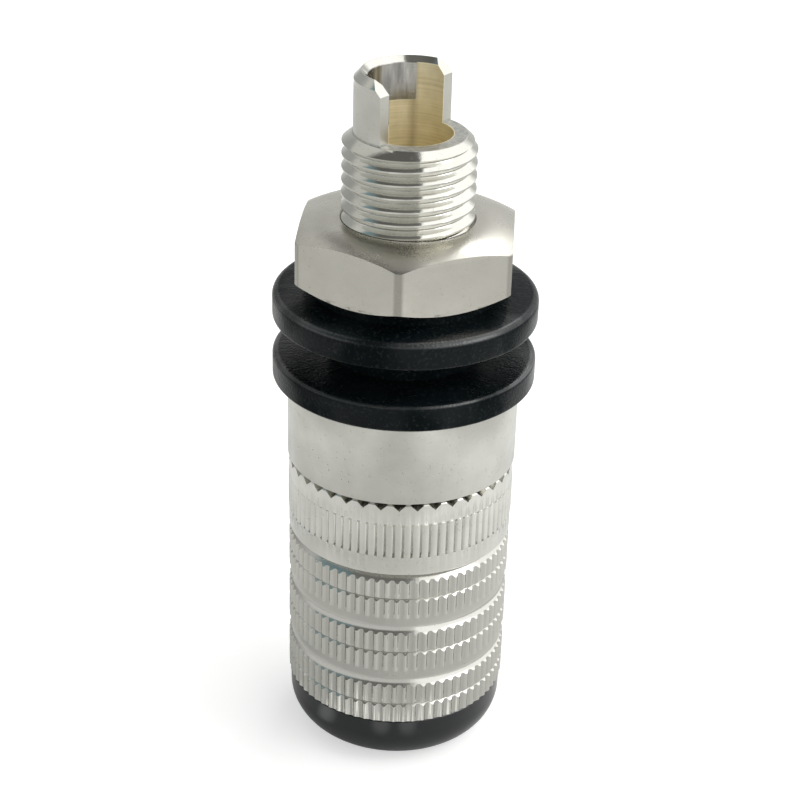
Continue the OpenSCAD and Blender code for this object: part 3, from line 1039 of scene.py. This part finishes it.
studio = {
    "floorRadius": 4,
    "floorDrop": 2e-5,
    "floorColour": (0.70, 0.70, 0.69, 1),
    "floorLift": 0.5,
    "sideReflectionGlow": (0.22, 0.02, 0.36),  # painted reflection: glow on the floor that only reflections see, left, straight ahead, right
    "leftRise": (-0.015, -0.06),  # between which places, sideways in metres, that sets in
    "leftFall": (-0.07, -0.085, 0.1),  # and between which it falls again, to what share
    "rightRise": (0.008, 0.045),
    "rightFall": (0.062, 0.08, 0.05),
    # painted highlights for the cap: small places close by on the floor that glow for reflections
    # only: middle, inner and outer radius, level
    "capGlints": (
        ((-0.0103, -0.0077, 0), 0.0008, 0.0023, 1.0),
        ((-0.0022, -0.0139, 0), 0.0010, 0.0021, 0.9),
        ((0.0026, -0.0139, 0), 0.0010, 0.0021, 0.9)),
    "horizon": (0.95, 0.95, 0.94, 1),
    "horizonBehind": (0.74, 0.745, 0.735, 1),
    "horizonLeft": (0.50, 0.505, 0.50, 1),
    "overhead": (0.17, 0.168, 0.16, 1),
    "front": (0.25, 0.25, 0.235, 1),
    "backLeft": (0.80, 0.80, 0.78, 1),
    "leftTint": (0.25, 0.365, 0.40, 1),
    "bright": (1.85, 1.85, 1.85, 1),
}


def makeFloor():
    putDown()
    bpy.ops.mesh.primitive_circle_add(
        vertices=96, radius=studio["floorRadius"], fill_type="NGON",
        location=(0, 0, -studio["floorDrop"]))
    floor = bpy.context.object
    floor.name = "studioFloor"
    bpy.ops.object.transform_apply(location=True)
    finish = bpy.data.materials.new("paleFloor")
    finish.use_nodes = True
    tree = finish.node_tree
    tree.nodes.clear()
    matt = addNode(tree, "ShaderNodeBsdfDiffuse", {"Color": studio["floorColour"]})
    path = addNode(tree, "ShaderNodeLightPath")
    spot = addNode(tree, "ShaderNodeTexCoord").outputs["Object"]
    side = addNode(tree, "ShaderNodeSeparateXYZ", {0: spot}).outputs[0]
    # painted reflections: the floor glows more on the left and the right, for glossy rays only
    leftLift, frontLift, rightLift = studio["sideReflectionGlow"]
    left = stretch(tree, side, *studio["leftRise"], frontLift, leftLift)
    right = stretch(tree, side, *studio["rightRise"], 0, rightLift - frontLift)
    fallFrom, fallTo, rest = studio["leftFall"]
    left = calc(tree, "MULTIPLY", left, stretch(tree, side, fallFrom, fallTo, 1, rest))
    fallFrom, fallTo, rest = studio["rightFall"]
    right = calc(tree, "MULTIPLY", right, stretch(tree, side, fallFrom, fallTo, 1, rest))
    # painted highlights: small places on the floor glow for glossy rays only, so that the cap shows
    # glints
    capGlints = 0.0
    for middle, inner, outer, level in studio["capGlints"]:
        far = addNode(tree, "ShaderNodeVectorMath", {0: spot, 1: middle},
                      operation="DISTANCE").outputs["Value"]
        capGlints = calc(tree, "ADD", stretch(tree, far, inner, outer, level, 0), capGlints)
    shiny = calc(
        tree, "MAXIMUM", path.outputs["Is Glossy Ray"], path.outputs["Is Transmission Ray"])
    mirrored = calc(tree, "ADD", capGlints, calc(tree, "ADD", left, right))
    lift = calc(tree, "ADD",
                calc(tree, "MULTIPLY", path.outputs["Is Camera Ray"], studio["floorLift"]),
                calc(tree, "MULTIPLY", shiny, mirrored))
    glow = addNode(tree, "ShaderNodeEmission", {"Color": (1, 1, 1, 1), "Strength": lift})
    both = addNode(tree, "ShaderNodeAddShader", {0: matt.outputs[0], 1: glow.outputs[0]})
    end = addNode(tree, "ShaderNodeOutputMaterial")
    tree.links.new(both.outputs[0], end.inputs["Surface"])
    floor.data.materials.append(finish)


# the world's zones: the share of a direction at which each one starts and is full
zones = {
    "overhead": (0.50, 0.58),
    "bright": (0.15, 0.19),
    "brightLean": 0.15,
    "brightEnd": (0.70, 0.84),
    "tealSide": (-0.52, -0.60),
    "tealDepth": (0.34, 0.42),
    "backSide": (-0.20, -0.28),
    "backDepth": (0.16, 0.26),
    "front": (-0.15, -0.4),
    "leftBehind": (-0.25, -0.5),
    "behind": (0.1, 0.6),
}


def makeWorld():
    world = bpy.data.worlds.new("studioLight")
    bpy.context.scene.world = world
    world.use_nodes = True
    tree = world.node_tree
    tree.nodes.clear()
    way = addNode(tree, "ShaderNodeTexCoord").outputs["Generated"]
    axes = addNode(tree, "ShaderNodeSeparateXYZ", {0: way})
    side, depth, up = axes.outputs

    def zone(value, name, outLow=0, outHigh=1):
        return stretch(tree, value, *zones[name], outLow, outHigh)

    high = zone(up, "overhead")
    leaning = calc(tree, "ADD", side, calc(tree, "MULTIPLY", depth, zones["brightLean"]))
    right = zone(leaning, "bright")
    teal = calc(tree, "MULTIPLY", zone(side, "tealSide"), zone(depth, "tealDepth", 1, 0))
    back = calc(tree, "MULTIPLY", zone(side, "backSide"), zone(depth, "backDepth"))
    shade = mixColour(tree, zone(depth, "front"), studio["overhead"], studio["front"])
    shade = mixColour(tree, teal, shade, studio["leftTint"])
    shade = mixColour(tree, back, shade, studio["backLeft"])
    behind = mixColour(
        tree, zone(side, "leftBehind"), studio["horizonBehind"], studio["horizonLeft"])
    pale = mixColour(tree, zone(depth, "behind"), studio["horizon"], behind)
    dim = mixColour(tree, high, pale, shade)
    right = calc(tree, "MULTIPLY", right, zone(depth, "brightEnd", 1, 0))
    colour = mixColour(tree, right, dim, studio["bright"])
    sky = addNode(tree, "ShaderNodeBackground", {"Color": colour, "Strength": 1.0})
    end = addNode(tree, "ShaderNodeOutputWorld")
    tree.links.new(sky.outputs[0], end.inputs["Surface"])


def makeLamp(name, place, aim, size, power):
    light = bpy.data.lights.new(name, "AREA")
    light.shape = "RECTANGLE"
    light.size, light.size_y = size
    light.energy = power
    lamp = bpy.data.objects.new(name, light)
    bpy.context.collection.objects.link(lamp)
    lamp.location = place
    lamp.rotation_euler = (Vector(aim) - Vector(place)).to_track_quat("-Z", "Y").to_euler()


camera = {
    "place": (0, -0.12819, 0.09487),
    "aim": (0, 0, 0.0284),
    "roll": 1.66,
    "lens": 83.59,
}


def makeCamera():
    view = bpy.data.cameras.new("camera")
    view.lens = camera["lens"]
    view.sensor_width = 36
    view.clip_start = 0.005
    view.clip_end = 20
    eye = bpy.data.objects.new("camera", view)
    bpy.context.collection.objects.link(eye)
    eye.location = camera["place"]
    look = (Vector(camera["aim"]) - Vector(camera["place"])).to_track_quat("-Z", "Y").to_matrix()
    eye.rotation_euler = (look @ Matrix.Rotation(math.radians(camera["roll"]), 3, "Z")).to_euler()
    bpy.context.scene.camera = eye


makeFloor()
makeWorld()
postMiddle = (0, 0, 0.03)
makeLamp("backWindow", (0.17, 0.50, 0.47), postMiddle, (0.22, 0.10), 0.35)
makeLamp("rightSoftbox", (0.42, -0.12, 0.42), postMiddle, (0.26, 0.26), 0.6)
makeCamera()
bpy.context.scene.view_settings.view_transform = "Standard"
print("studio set")
